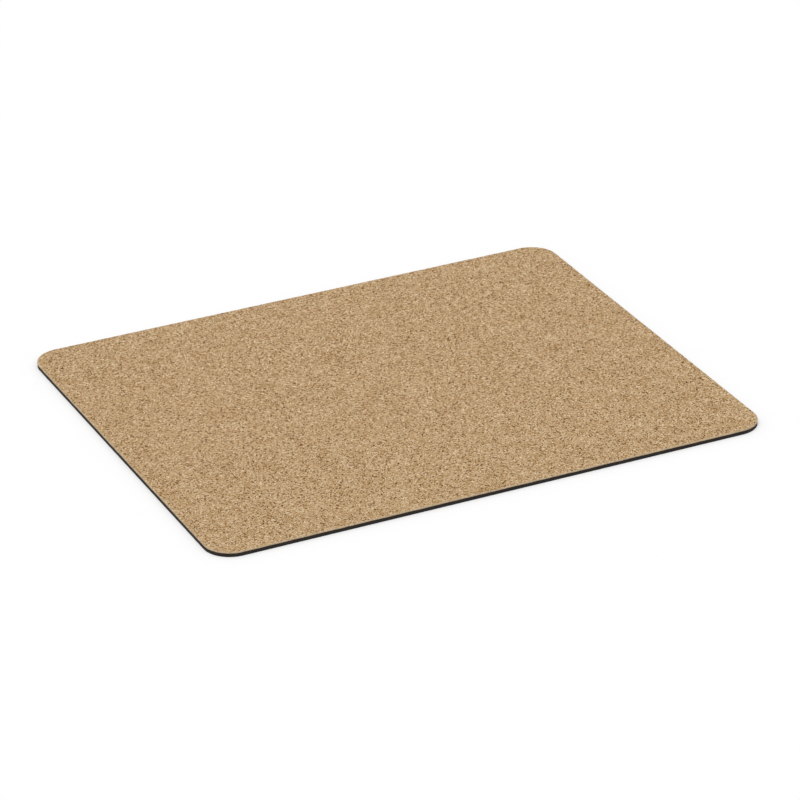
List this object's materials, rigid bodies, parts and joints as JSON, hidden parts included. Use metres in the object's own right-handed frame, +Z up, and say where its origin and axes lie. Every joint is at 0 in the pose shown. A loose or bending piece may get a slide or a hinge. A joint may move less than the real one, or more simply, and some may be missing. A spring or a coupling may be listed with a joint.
{
  "type": "mouse pad",
  "caption": "Flat rectangular mouse pad with rounded corners: a thin cork top sheet bonded to a black non-slip foam base that lies on the desk.",
  "frame": {"origin": "middle of the underside, on the surface the pad lies on", "axes": "+X along the longer side, +Y along the shorter side away from the user, +Z up through the layers to the cork"},
  "size_m": [0.22, 0.18, 0.002],
  "materials": {
    "cork": "matte fine-grained agglomerated cork, sanded flat",
    "adhesive": "pale cured glue line",
    "foam": "black closed-cell foam, matte, die-cut edge, fine non-slip underside"
  },
  "bodies": {
    "root": {"cork_sheet": "cork", "adhesive_film": "adhesive", "foam_base": "foam"}
  },
  "joints": []
}
